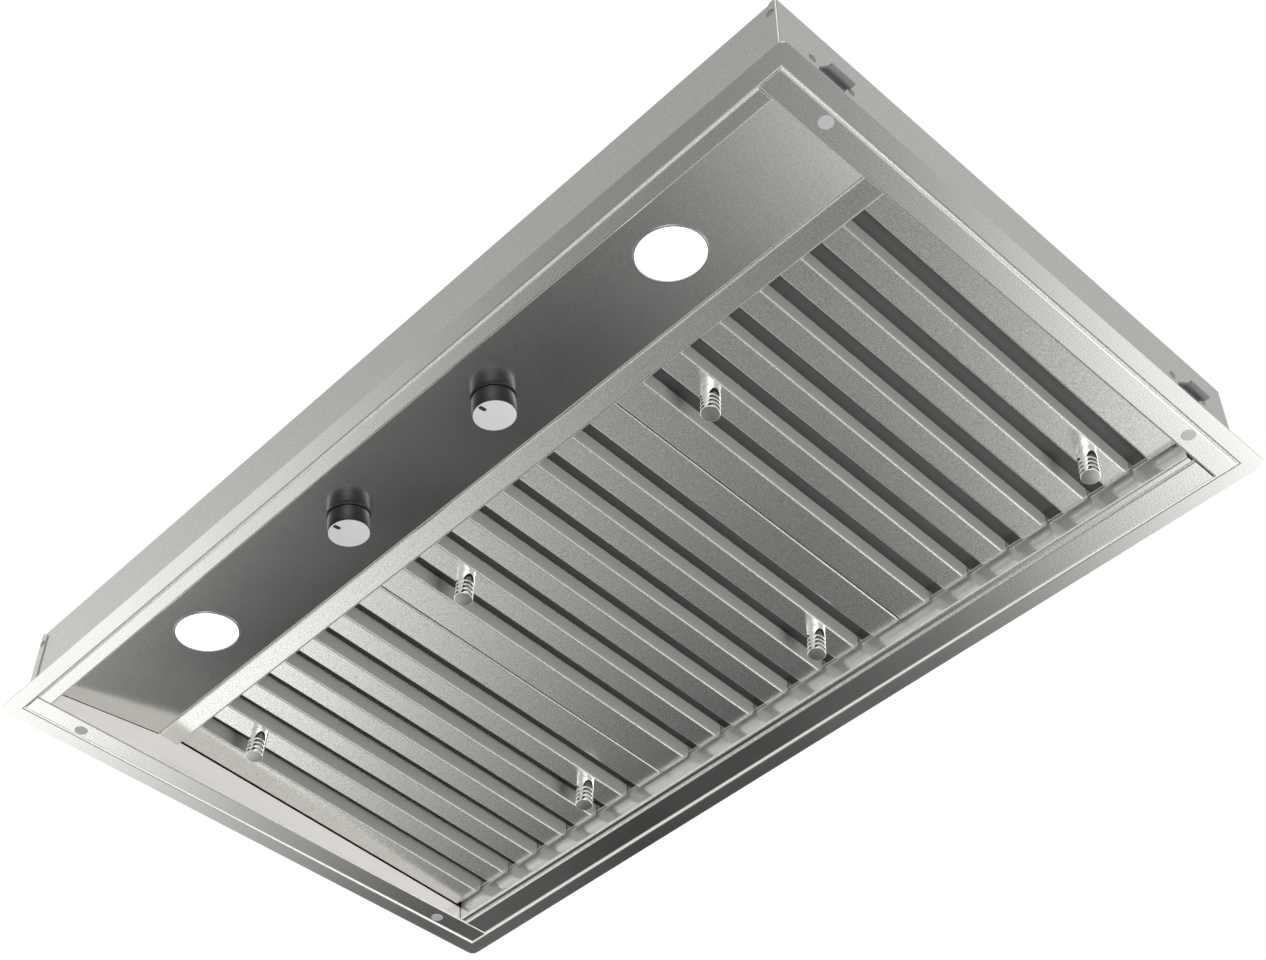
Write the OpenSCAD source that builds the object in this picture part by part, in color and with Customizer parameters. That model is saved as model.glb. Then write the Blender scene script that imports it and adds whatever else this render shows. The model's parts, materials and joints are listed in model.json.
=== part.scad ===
// Range hood insert: a stainless box that is held up in the underside of a cabinet.
// X runs along its length, Y from the control side to the kitchen wall, and Z up.
// The origin is the middle of the cabinet cut-out, level with the visible face of the trim.

/* [Body] */
// Length of the body box, outside its end walls
box_w = 867.4; // [780:0.1:1100]
// Depth of the body box, outside its front and rear walls
box_d = 493.4; // [480:0.1:560]
// Height of the body box above the trim face
box_h = 80; // [77:1:110]
// Thickness of the folded sheet
sheet = 1; // [0.8:0.1:1.5]
// Outside radius of a fold in the sheet
fold_r = 2; // [1.8:0.1:2.4]
// Width of the flange round the box
flange_w = 14; // [11:0.5:25]
// Radius of the flange's outer corners
flange_corner_r = 6; // [3:0.5:9]
// Width of the laps that wrap round the corners of the box
lap_w = 10; // [8:0.5:16]
// Radius of a rivet's shank
rivet_r = 2; // [1.5:0.1:2.4]

/* [Trim] */
// Width of the front trim strip
front_trim_w = 13.5; // [11:0.1:18]
// Width of each side trim strip
side_trim_w = 20.5; // [19:0.1:26]
// Width of the rear trim strip
rear_trim_w = 25; // [18:0.1:30]
// Height of the trim's outer legs, against the walls of the box
trim_leg = 12; // [8:0.5:12.5]
// Height of the inner legs of the side trim, which are the ends of the recess
side_leg = 45; // [42:1:60]
// Width of the gutter's lip in front of the rear trim strip
gutter_lip_w = 7.3; // [5:0.1:12]

/* [Control panel] */
// Height of the panel's front edge above the trim face
panel_front_z = 13.2; // [9:0.2:15]
// Height of the panel's rear edge above the trim face
panel_rear_z = 26.3; // [23:0.1:27]
// Depth of the panel in plan
panel_d = 100.9; // [92:0.1:115]
// Height of the legs where the panel and the rail meet
panel_leg = 14; // [8:0.5:18]
// Depth of the filter rail in plan
rail_d = 20.2; // [16:0.1:26]
// How far the rail's face comes down from its front edge to its rear edge
rail_drop = 1.7; // [0:0.1:2.5]

/* [Lights and knobs] */
// Distance of the lights and knobs from the panel's front edge, along the panel
item_y = 50.2; // [45:0.1:56]
// Distance of each light from the nearer end wall
light_end = 164.4; // [144:0.1:230]
// Radius of a light's bezel
bezel_r = 26.9; // [26.5:0.1:32]
// Radius of a light's lens
lens_r = 25; // [23:0.1:25.2]
// Height of a lamp's cooling can behind the panel
lamp_h = 26; // [18:1:32]
// Distance of each knob from the middle
knob_x = 84.5; // [60:0.1:110]
// Radius of a knob
knob_r = 16.6; // [14:0.1:18]
// Height of a knob's face above the panel
knob_h = 17; // [15:0.5:19]
// Radius of a switch's shaft
shaft_r = 3; // [2.5:0.1:3.5]

/* [Filters] */
// Height of the filters' lower face over the rail's rear edge
seat_front_z = 29.4; // [28.6:0.1:30.4]
// Height of the filters' lower face over the gutter's front wall
seat_rear_z = 13.3; // [12:0.1:15]
// How far the filters reach over the rail
front_lap = 9; // [6:0.5:10]
// How far the filters' rear lips reach over the gutter's ledge
rear_lap = 10; // [6:0.5:12]
// Height of a filter, square to its face
filter_h = 22; // [20:0.5:25]
// Thickness of the filters' sheet
baffle_t = 0.8; // [0.6:0.1:1]
// Outside radius of the folds in the filters' sheet
baffle_fold_r = 1.5; // [1.2:0.1:1.9]
// Number of slots in a filter
slot_count = 6; // [4:1:7]
// Width of a slot
slot_w = 18.2; // [14:0.2:20]
// Width of the flat at each side of a filter
end_land = 28.75; // [24:0.05:34]
// Height of the legs of the lower baffles
lower_leg = 15; // [12:0.5:16]
// How far the upper baffles reach past the slots' edges
upper_reach = 5; // [4:0.1:6]
// How far the legs of the upper baffles hang down
upper_leg = 13; // [10:0.5:14]
// Radius of a handle post
post_r = 7.6; // [6:0.1:8]
// Length of a handle post
post_h = 25.3; // [20:0.1:30]
// Distance of the front handle post from its filter's front end
post_front = 52; // [40:1:70]
// Distance of the rear handle post from its filter's rear end
post_rear = 40.5; // [30:0.5:60]
// Outside radius of the lands' turned-up rear ends
curl_r = 6; // [4:0.5:7]

/* [Mounting clamps] */
// Distance of each clamp from the middle, along the depth
clamp_y = 195.9; // [170:0.1:200]
// Distance of a clamp's screw from the end wall of the box
clamp_inset = 9.4; // [8.8:0.1:10]
// Height of the tip of a clamp's lug above the trim face
lug_z = 34.3; // [32:0.1:40]
// Reach of a clamp's lug beyond the box
lug_reach = 9.6; // [8:0.1:10]
// Width of a clamp's lug
lug_w = 24; // [18:0.5:28]
// Radius of the access hole under each clamp screw
access_r = 5; // [4.6:0.1:5.2]

/* [Blower] */
// Length of the blower's housing
blower_w = 340; // [300:2:420]
// Depth of the blower's housing
blower_d = 290; // [290:2:310]
// Height of the blower's housing above the box
blower_h = 190; // [190:1:230]
// Distance of the fan's axis from the rear wall
fan_rear = 206.7; // [202.7:1:216.7]
// Radius of the fan wheel
wheel_r = 70; // [60:1:72]
// Length of the fan wheel
wheel_w = 130; // [110:2:136]
// Number of blades round the fan wheel
blade_count = 30; // [20:1:40]
// Outside radius of the duct collar
collar_r = 74.5; // [70:0.5:76]
// Height of the duct collar above its base
collar_h = 55; // [45:1:80]

/* [Hidden] */

// Clearances
sheet_gap = 0.2;
seat_gap = 0.3;
side_gap = 1;
filter_gap = 0.5;
run_gap = 0.08;
overrun = 1;

// The inside of the box and the trim
in_x = box_w / 2 - sheet;
in_y = box_d / 2 - sheet;
trim_x = in_x - sheet_gap;
trim_y = in_y - sheet_gap;
recess_x = trim_x - side_trim_w;
fit_x = recess_x - sheet_gap;
light_x = box_w / 2 - light_end;
mitre_z = fold_r + sheet_gap;

// Folded stretches from front to rear
panel_y0 = front_trim_w + sheet_gap - trim_y;
panel_y1 = panel_y0 + panel_d;
rail_y0 = panel_y1 + sheet_gap;
rail_y1 = rail_y0 + rail_d;
gutter_y1 = trim_y - rear_trim_w - sheet_gap;
gutter_y0 = gutter_y1 - gutter_lip_w;
gutter_end_gap = 1.5;
small_leg = 9;
front_leg = 18;
panel_front_leg = 12;

// The panel's own plane
panel_tilt = atan2(panel_rear_z - panel_front_z, panel_d);
bezel_lip = 0.8;
bezel_barrel = 7;
bezel_wall = 0.6;
lens_gap = 0.5;
lens_drop = 0.3;
can_wall = 4.8;
fin_t = 1.2;
lamp_fins = 5;
fin_depth = 3;
can_r = bezel_r + can_wall;
lens_lip_t = 1.5;
bezel_bore = lens_r + lens_gap;
barrel_r = bezel_bore + bezel_wall;
ring_h = 1.5;
ring_lip = 1.1;
knob_gap = 0.5;
knob_wall = 1.6;
knob_face_t = 2.8;
knob_edge = 0.7;
boss_wall = 2.4;
pointer_l = 6;
pointer_w = 2;
pointer_depth = 0.4;
pointer_inset = 1.9;
switch_w = 28;
switch_h = 20;
bush_r = 5;
shaft_grip = 11;
bush_clear = 0.2;

// The filters' own plane
filter_tilt = atan2(seat_front_z - seat_rear_z, gutter_y0 - rail_y1);
filter_span = norm([gutter_y0 - rail_y1, seat_front_z - seat_rear_z]);
end_gap = 1.5;
filter_l = filter_span + front_lap - end_gap;
filter_w = (2 * recess_x - 2 * side_gap - 2 * filter_gap) / 3;
filter_pitch = filter_w + filter_gap;
slot_pitch = (filter_w - 2 * end_land - slot_w) / (slot_count - 1);
land_w = slot_pitch - slot_w;
frame_lip = 12;
rear_plate_z = 8;
ledge_margin = 3;
upper_w = slot_w + 2 * upper_reach;
upper_top = filter_h - baffle_t;
post_x = slot_pitch * (slot_count / 2 - 1);
groove_pitch = 4.5;
groove_first = 3.8;
groove_w = 1.7;
groove_depth = 0.8;
groove_count = 3;
post_edge = 0.5;
stud_r = 2;
stud_l = 4.5;
nut_r = 4;
nut_h = 3;
ledge_w = rear_lap + ledge_margin;
ledge_z = seat_rear_z + (filter_h - baffle_t) * cos(filter_tilt) - rear_lap * sin(filter_tilt) - seat_gap;

// The clamps
bracket_side = 12;
bracket_w = lug_w + 2 * bracket_side;
bracket_z0 = trim_leg + sheet_gap + sheet / 2;
bracket_rise = 17;
bracket_z1 = lug_z + bracket_rise;
bracket_reach = 17;
window_w = lug_w + 2 * sheet_gap;
window_foot = 3.6;
window_head = 1.3;
lug_t = 2;
lug_rise = 4.7;
lug_fold_r = 5;
lug_taper = 0.9;
lug_foot = 4;
window_z0 = bracket_z0 + window_foot;
window_z1 = lug_z + lug_rise + lug_t + window_head;
block_w = 12;
block_h = 8;
block_drop = 1;
screw_r = 2.5;
head_r = 4.2;
head_h = 3;
rivet_side = 6.8;
clamp_rivet_y = lug_w / 2 + rivet_side;
clamp_rivet_z = 44.2;
cap_lip = 0.5;
cap_stem = 3;
rivet_head_r = 1.75 * rivet_r;
rivet_head_h = 0.4 * rivet_r;
rivet_tail_r = 1.4 * rivet_r;
lap_z0 = mitre_z + sheet;
lap_chamfer = 5;
lap_rivet_low_z = 18;
lap_rivet_top = 12;
top_leg = 8;

// The blower
house_t = 1;
fan_y = box_d / 2 - fan_rear;
house_shift = 12;
house_y = fan_y + house_shift;
house_lip = 14;
house_z = box_h + blower_h;
house_corner_r = 4;
fan_rise = 106;
fan_z = box_h + fan_rise;
scroll_gap = 6;
scroll_growth = 36;
scroll_start = wheel_r + scroll_gap;
scroll_end = wheel_r + scroll_growth;
scroll_w = wheel_w + 20;
cutoff_angle = 60;
scroll_steps = 40;
inlet_inset = 12;
inlet_r = wheel_r - inlet_inset;
inlet_lip = 5;
outlet_y0 = fan_y + scroll_start * cos(cutoff_angle);
outlet_y1 = fan_y + scroll_end;
outlet_y = (outlet_y0 + outlet_y1) / 2;
hub_r = 12;
hub_w = 16;
rod_r = 4;
blade_t = 0.8;
blade_depth = 12;
blade_lean = 35;
ring_t = 2;
motor_r = 44;
motor_gap = 4;
bearing_l = 20;
arm_w = 14;
arm_reach = 8;
window_margin = 24;
house_screw_r = 2;
house_screw_head_r = 4;
house_screw_head_h = 2.4;

// The duct collar and its damper
collar_base = 2 * collar_r + 16 * house_t;
collar_t = 1;
rod_rise = 14;
rod_z = house_z + rod_rise;
damper_rod_r = 2;
knuckle_r = 3.2;
flap_t = 0.8;
flap_gap = 1.2;
stop_h = 2;
stop_z = rod_z - flap_t / 2 - run_gap;
stop_w = 4;
knuckle_shares = [[-0.78, -0.3], [0.12, 0.5]];

// The electrical parts
jbox_w = 92;
jbox_d = 64;
jbox_h = 42;
jbox_shift = 18.85;
jbox_x = jbox_shift - (box_w / 2 + blower_w / 2 + house_lip) / 2;
jbox_y = 120;
knockout_r = 11.1;
jbox_screw_x = 38;
driver_w = 120;
driver_d = 40;
driver_h = 22;
driver_x = -172;
driver_gap = 4;
driver_y = panel_y0 + driver_d / 2 + driver_gap;

// A folded sheet's outline: one face follows the path, the other lies one thickness to its left
function unit(a) = a / norm(a);
function left_of(d) = [-d[1], d[0]];
function heading(d) = atan2(d[1], d[0]);
function turn(a, b) = atan2(a[0] * b[1] - a[1] * b[0], a[0] * b[0] + a[1] * b[1]);
function fold(p, d1, d2, t, r, n) =
    let(bend = turn(d1, d2),
        big = bend > 0 ? r : t - r,
        c = p - d1 * abs(big) * tan(abs(bend) / 2) + left_of(d1) * big)
    [for (i = [0:n])
        let(a = heading(d1) + 90 + bend * i / n, q = [cos(a), sin(a)])
        [c - big * q, c - (big - t) * q]];
function folded(path, t, r, n = 5) =
    let(k = len(path) - 1,
        d = [for (i = [0:k - 1]) unit(path[i + 1] - path[i])],
        pairs = concat([[path[0], path[0] + left_of(d[0]) * t]],
                       [for (i = [1:k - 1]) each fold(path[i], d[i - 1], d[i], t, r, n)],
                       [[path[k], path[k] + left_of(d[k - 1]) * t]]))
    concat([for (q = pairs) q[0]], [for (i = [len(pairs) - 1:-1:0]) pairs[i][1]]);
function rounded_rect(w, d, r, n = 8) =
    [for (q = [0:3], i = [0:n])
        let(a = 90 * q + 90 * i / n, sx = q == 0 || q == 3 ? 1 : -1, sy = q < 2 ? 1 : -1)
        [sx * (w / 2 - r) + r * cos(a), sy * (d / 2 - r) + r * sin(a)]];

// Extrudes a (y, z) outline along X, or an (x, z) outline along Y, both about the middle
module along_x(run) translate([-run / 2, 0, 0]) rotate([90, 0, 90]) linear_extrude(run) children();
module along_y(run) translate([0, run / 2, 0]) rotate([90, 0, 0]) linear_extrude(run) children();
module block(w, d, h) translate([-w / 2, -d / 2, 0]) cube([w, d, h]);
module bar_x(r, l) rotate([0, 90, 0]) cylinder(h = l, r = r, center = true, $fn = 48);

// A wall of the box with its flange. Its outer face is y = 0 and the box lies behind it
module wall_form(run, depth, upper_run) {
    intersection() {
        along_x(2 * run)
            polygon(folded([[-flange_w, 0], [sheet, 0], [sheet, box_h]], sheet, fold_r));
        union() {
            intersection() {
                linear_extrude(mitre_z)
                    polygon([[-run / 2 - flange_w, -flange_w], [run / 2 + flange_w, -flange_w],
                             [run / 2 - sheet, sheet], [sheet - run / 2, sheet]]);
                translate([0, depth / 2, 0])
                    linear_extrude(mitre_z)
                        polygon(rounded_rect(run + 2 * flange_w, depth + 2 * flange_w,
                                             flange_corner_r));
            }
            translate([0, sheet / 2, mitre_z]) block(upper_run, sheet, box_h - mitre_z);
        }
    }
}
module lap(side) {
    scale([side, 1, 1])
        intersection() {
            translate([0, 0, lap_z0])
                linear_extrude(box_h - lap_z0)
                    polygon(folded([[box_w / 2 - lap_w, -box_d / 2 - sheet],
                                    [box_w / 2, -box_d / 2 - sheet],
                                    [box_w / 2, lap_w - box_d / 2]], sheet, fold_r));
            along_y(box_d + 2 * lap_w)
                polygon([[box_w / 2 - lap_w, lap_z0], [box_w / 2, lap_z0], [box_w / 2, box_h],
                         [box_w / 2 - lap_w + lap_chamfer, box_h],
                         [box_w / 2 - lap_w, box_h - lap_chamfer]]);
        }
}
module lap_rivet_places() {
    for (sx = [-1, 1], sy = [-1, 1], z = [lap_rivet_low_z, box_h - lap_rivet_top])
        translate([sx * (box_w / 2 - lap_w / 2 - sheet / 2), sy * (box_d / 2 + sheet), z])
            rotate([-sy * 90, 0, 0]) children();
}
module rivet(grip) {
    cylinder(h = rivet_head_h, r1 = rivet_head_r, r2 = rivet_r, $fn = 32);
    translate([0, 0, -grip]) cylinder(h = grip, r = rivet_r - run_gap, $fn = 32);
    translate([0, 0, -grip - rivet_head_h]) cylinder(h = rivet_head_h, r = rivet_tail_r, $fn = 32);
}
module rivet_hole(grip) translate([0, 0, -2 * grip]) cylinder(h = 3 * grip, r = rivet_r, $fn = 32);
module front_wall() {
    color("#b8b9b5") difference() {
        translate([0, -box_d / 2, 0]) wall_form(box_w, box_d, box_w - 2 * fold_r);
        lap_rivet_places() rivet_hole(2 * sheet);
    }
}
module rear_wall() mirror([0, 1, 0]) front_wall();
module right_wall() {
    color("#b2b3b0") difference() {
        union() {
            rotate([0, 0, 90])
                translate([0, -box_w / 2, 0]) wall_form(box_d, box_w, box_d - overrun);
            for (sy = [0, 1]) mirror([0, sy, 0]) lap(1);
        }
        lap_rivet_places() rivet_hole(2 * sheet);
        clamp_places([1], [-1, 1]) clamp_window();
        clamp_places([1], [-1, 1]) clamp_rivet_places() rivet_hole(2 * sheet);
    }
}
module left_wall() mirror([1, 0, 0]) right_wall();
module lap_rivets() color("#8f9190") lap_rivet_places() rivet(2 * sheet);

// The top of the box, with the window under the blower
module top_plate() {
    color("#a9aba9") difference() {
        along_x(2 * in_x)
            polygon(folded([[in_y, box_h - top_leg], [in_y, box_h], [-in_y, box_h],
                            [-in_y, box_h - top_leg]], sheet, fold_r));
        for (sy = [-1, 1])
            translate([0, sy * in_y, box_h - top_leg - overrun])
                for (sx = [-1, 1])
                    translate([sx * in_x, 0, 0])
                        block(2 * lap_w + 2 * sheet, 2 * fold_r + 2 * sheet, top_leg + overrun - fold_r);
        translate([0, house_y, box_h - sheet - overrun])
            linear_extrude(sheet + 2 * overrun)
                polygon(rounded_rect(blower_w - 2 * window_margin, blower_d - 2 * window_margin,
                                     house_corner_r));
        house_screw_places() translate([0, 0, -2 * overrun])
            cylinder(h = 3 * overrun, r = house_screw_r, $fn = 32);
        translate([jbox_x, jbox_y, box_h - sheet - overrun])
            cylinder(h = sheet + 2 * overrun, r = knockout_r, $fn = 48);
    }
}

// The trim. A strip's outer leg stands at y = 0, and its inner edge is one width further in
module strip(run, width, inner_leg) {
    along_x(run)
        polygon(folded([[0, trim_leg], [0, 0], [width, 0], [width, inner_leg]], sheet, fold_r));
}
module front_trim() color("#c6c7c2") translate([0, -trim_y, 0]) strip(2 * fit_x, front_trim_w, front_leg);
module rear_trim() {
    color("#c6c7c2") translate([0, trim_y, 0])
        mirror([0, 1, 0]) strip(2 * fit_x, rear_trim_w, small_leg);
}
module right_trim() {
    color("#cacbc6") difference() {
        translate([trim_x, 0, 0]) rotate([0, 0, 90]) strip(2 * trim_y, side_trim_w, side_leg);
        clamp_places([1], [-1, 1])
            translate([-clamp_inset, 0, -overrun])
                cylinder(h = sheet + 2 * overrun, r = access_r, $fn = 48);
    }
}
module left_trim() mirror([1, 0, 0]) right_trim();
module rear_gutter() {
    color("#bfc0bc") along_x(2 * (recess_x - gutter_end_gap))
        polygon(folded([[gutter_y0 + ledge_w, ledge_z], [gutter_y0, ledge_z], [gutter_y0, 0],
                        [gutter_y1, 0], [gutter_y1, small_leg]], sheet, fold_r));
}

// The panel and the rail behind it
module on_panel(x) {
    translate([x, panel_y0, panel_front_z])
        rotate([panel_tilt, 0, 0]) translate([0, item_y, 0]) children();
}
module control_panel() {
    color("#8b8d89") difference() {
        along_x(2 * fit_x)
            polygon(folded([[panel_y0, panel_front_z + panel_front_leg], [panel_y0, panel_front_z],
                            [panel_y1, panel_rear_z], [panel_y1, panel_rear_z + panel_leg]],
                           sheet, fold_r));
        for (sx = [-1, 1]) {
            on_panel(sx * light_x)
                translate([0, 0, -overrun])
                    cylinder(h = sheet + 2 * overrun, r = barrel_r + run_gap, $fn = 96);
            on_panel(sx * knob_x)
                translate([0, 0, -overrun])
                    cylinder(h = sheet + 2 * overrun, r = bush_r + bush_clear, $fn = 48);
        }
    }
}
module filter_rail() {
    color("#bfc0bc") along_x(2 * fit_x)
        polygon(folded([[rail_y0, panel_rear_z + panel_leg], [rail_y0, panel_rear_z],
                        [rail_y1, panel_rear_z - rail_drop], [rail_y1, seat_front_z - seat_gap]],
                       sheet, fold_r));
}

// A light: bezel and lens from below, and the can with cooling rings behind the panel
module light_bezel() {
    color("#d8d9d6") rotate_extrude($fn = 96)
        polygon([[bezel_bore, -bezel_lip / 2], [bezel_bore + bezel_lip / 2, -bezel_lip],
                 [bezel_r - bezel_lip / 2, -bezel_lip], [bezel_r, -bezel_lip / 2], [bezel_r, 0],
                 [barrel_r, 0], [barrel_r, bezel_barrel], [bezel_bore, bezel_barrel]]);
}
module light_lens() {
    color("#ffffff") rotate_extrude($fn = 96)
        polygon([[0, -lens_drop], [lens_r - lens_drop, -lens_drop], [lens_r, 0],
                 [lens_r, bezel_barrel - lens_lip_t], [bezel_bore - run_gap, bezel_barrel - lens_lip_t],
                 [bezel_bore - run_gap, bezel_barrel], [0, bezel_barrel]]);
}
module light_housing() {
    color("#77797a") difference() {
        union() {
            translate([0, 0, sheet]) cylinder(h = lamp_h, r = can_r - fin_depth, $fn = 96);
            for (i = [0:lamp_fins])
                translate([0, 0, sheet + i * (lamp_h - fin_t) / lamp_fins])
                    cylinder(h = fin_t, r = can_r, $fn = 96);
        }
        cylinder(h = bezel_barrel + sheet_gap, r = barrel_r + run_gap, $fn = 96);
    }
}

// A knob and the switch that it turns
module switch_body() {
    color("#3b3c3e") difference() {
        union() {
            translate([0, 0, sheet]) block(switch_w, switch_w, switch_h);
            translate([0, 0, -ring_h]) cylinder(h = sheet + ring_h, r = bush_r, $fn = 48);
        }
        translate([0, 0, -ring_h - overrun])
            cylinder(h = switch_h + ring_h, r = shaft_r + run_gap, $fn = 48);
    }
}
module switch_shaft() {
    color("#9a9b9c") translate([0, 0, knob_wall - knob_h])
        cylinder(h = knob_h - knob_wall + switch_h - 2 * overrun, r = shaft_r, $fn = 48);
}
module knob() {
    color("#c3c4c4") difference() {
        rotate_extrude($fn = 96)
            polygon([[0, -knob_h], [knob_r - knob_edge, -knob_h], [knob_r, knob_edge - knob_h],
                     [knob_r, -ring_h - knob_gap - knob_edge / 2],
                     [knob_r - knob_edge / 2, -ring_h - knob_gap],
                     [knob_r - knob_wall, -ring_h - knob_gap],
                     [knob_r - knob_wall, knob_face_t - knob_h],
                     [shaft_r + boss_wall, knob_face_t - knob_h],
                     [shaft_r + boss_wall, shaft_grip - knob_h], [0, shaft_grip - knob_h]]);
        translate([0, 0, knob_wall - knob_h]) cylinder(h = knob_h, r = shaft_r + run_gap, $fn = 48);
        translate([-pointer_w / 2, pointer_inset - knob_r, -knob_h - overrun])
            cube([pointer_w, pointer_l, pointer_depth + overrun]);
    }
}
module knob_ring() {
    color("#b9baba") translate([0, 0, -ring_h]) difference() {
        cylinder(h = ring_h, r1 = knob_r + ring_lip - ring_h / 2, r2 = knob_r + ring_lip, $fn = 96);
        translate([0, 0, -overrun]) cylinder(h = ring_h + 2 * overrun, r = bush_r + bush_clear, $fn = 48);
    }
}

// A filter, in its own plane: x across, y from its front end to its rear end, z into the box
module in_filter(i) {
    translate([i * filter_pitch, rail_y1, seat_front_z])
        rotate([-filter_tilt, 0, 0]) translate([0, -front_lap, 0]) children();
}
module channel(path, run, start) {
    translate([0, start + run / 2, 0]) along_y(run) polygon(folded(path, baffle_t, baffle_fold_r));
}

// A land's channel, whose legs follow the turned-up rear end that a tab between them makes
module land(path, run, start, middle, width) {
    rear = start + run;
    leg_r = curl_r - baffle_t / 2;
    intersection() {
        channel(path, run, start);
        along_x(2 * filter_w)
            polygon(concat([[-overrun, filter_h + overrun], [-overrun, -overrun], [rear - curl_r, -overrun]],
                           [for (a = [-90:10:0])
                               [rear - curl_r + leg_r * cos(a), curl_r + leg_r * sin(a)]],
                           [[rear - baffle_t / 2, filter_h + overrun]]));
    }
    translate([middle, 0, 0]) along_x(width - 2 * baffle_fold_r - sheet_gap)
        polygon(folded([[rear - curl_r - overrun, 0], [rear, 0], [rear, lower_leg]],
                       baffle_t, curl_r, 9));
}
module filter_frame() {
    half = filter_w / 2;
    color("#b4b5b1") union() {
        for (s = [0, 1])
            mirror([s, 0, 0])
                land([[half - end_land, lower_leg], [half - end_land, 0], [half, 0],
                      [half, filter_h], [half - frame_lip, filter_h]], filter_l, 0,
                     half - end_land / 2, end_land);
        along_x(filter_w - 2 * baffle_t)
            polygon(folded([[frame_lip, filter_h], [0, filter_h], [0, 0]], baffle_t, baffle_fold_r));
        translate([0, filter_l, 0]) mirror([0, 1, 0]) along_x(filter_w - 2 * baffle_t)
            polygon(folded([[-end_gap - rear_lap, filter_h - baffle_t], [0, filter_h - baffle_t],
                            [0, rear_plate_z]], baffle_t, baffle_fold_r));
    }
}
module lower_baffles() {
    color("#bdbeba") difference() {
        for (i = [1:slot_count - 1])
            translate([(i - slot_count / 2) * slot_pitch, 0, 0])
                land([[-land_w / 2, lower_leg], [-land_w / 2, 0], [land_w / 2, 0],
                      [land_w / 2, lower_leg]], filter_l - 2 * baffle_t, baffle_t, 0, land_w);
        post_places() translate([0, 0, -overrun]) cylinder(h = stud_l, r = stud_r + run_gap, $fn = 32);
    }
}
module upper_baffles() {
    color("#6f716f")
        for (i = [0:slot_count - 1])
            translate([(i + 0.5 - slot_count / 2) * slot_pitch, 0, 0])
                channel([[upper_w / 2, upper_top - upper_leg], [upper_w / 2, upper_top],
                         [-upper_w / 2, upper_top], [-upper_w / 2, upper_top - upper_leg]],
                        filter_l - 2 * baffle_t, baffle_t);
}
module post_places() {
    translate([-post_x, post_front, 0]) children();
    translate([post_x, filter_l - post_rear, 0]) children();
}
module post() {
    difference() {
        union() {
            translate([0, 0, post_edge - post_h]) cylinder(h = post_h - post_edge, r = post_r, $fn = 64);
            translate([0, 0, -post_h])
                cylinder(h = post_edge, r1 = post_r - post_edge, r2 = post_r, $fn = 64);
        }
        for (i = [0:groove_count - 1])
            translate([0, 0, groove_first + i * groove_pitch - post_h])
                difference() {
                    cylinder(h = groove_w, r = post_r + overrun, $fn = 64);
                    translate([0, 0, -overrun])
                        cylinder(h = groove_w + 2 * overrun, r = post_r - groove_depth, $fn = 64);
                }
    }
    cylinder(h = stud_l, r = stud_r, $fn = 32);
}
module stud_nut() {
    translate([0, 0, baffle_t]) difference() {
        cylinder(h = nut_h, r = nut_r, $fn = 6);
        translate([0, 0, -overrun]) cylinder(h = nut_h + 2 * overrun, r = stud_r + run_gap, $fn = 32);
    }
}
module handles() {
    color("#e6e7e8") post_places() {
        post();
        stud_nut();
    }
}

// The clamps that grip the cabinet's floor against the flange
module clamp_places(xs, ys) {
    for (sx = xs, sy = ys)
        scale([sx, 1, 1]) translate([box_w / 2, sy * clamp_y, 0]) children();
}
module clamp_window() {
    translate([-2 * sheet, -window_w / 2, window_z0])
        cube([3 * sheet, window_w, window_z1 - window_z0]);
}
module clamp_rivet_places() {
    for (s = [-1, 1])
        translate([0, s * clamp_rivet_y, clamp_rivet_z]) rotate([0, 90, 0]) children();
}
module clamp_bracket() {
    inner = -sheet;
    difference() {
        along_y(bracket_w)
            polygon(folded([[inner - bracket_reach, bracket_z0], [inner, bracket_z0],
                            [inner, bracket_z1], [inner - bracket_reach, bracket_z1]],
                           sheet, fold_r));
        clamp_window();
        clamp_rivet_places() rivet_hole(2 * sheet);
        translate([-clamp_inset, 0, 0]) cylinder(h = bracket_z1 + overrun, r = screw_r + run_gap, $fn = 32);
    }
}
module clamp_brackets() color("#9b9d9c") clamp_places([-1, 1], [-1, 1]) clamp_bracket();
module clamp_rivets() {
    color("#8f9190") clamp_places([-1, 1], [-1, 1]) clamp_rivet_places() rivet(2 * sheet);
}
module clamp_screws() {
    color("#8a8c8d") clamp_places([-1, 1], [-1, 1])
        translate([-clamp_inset, 0, bracket_z0 - head_h]) {
            difference() {
                cylinder(h = head_h, r = head_r, $fn = 48);
                translate([0, 0, -overrun])
                    cylinder(h = overrun + head_h / 2, r = head_r / 2, $fn = 6);
            }
            cylinder(h = bracket_z1 - bracket_z0 + head_h + sheet, r = screw_r, $fn = 32);
        }
}
module screw_caps() {
    color("#aaaaaa") clamp_places([-1, 1], [-1, 1])
        translate([-clamp_inset, 0, 0])
            rotate_extrude($fn = 48)
                polygon([[0, -cap_lip], [access_r, -cap_lip], [access_r + cap_lip, 0],
                         [access_r - run_gap, 0], [access_r - run_gap, cap_stem],
                         [access_r - cap_lip - sheet, cap_stem], [access_r - cap_lip - sheet, sheet],
                         [0, sheet]]);
}
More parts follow.
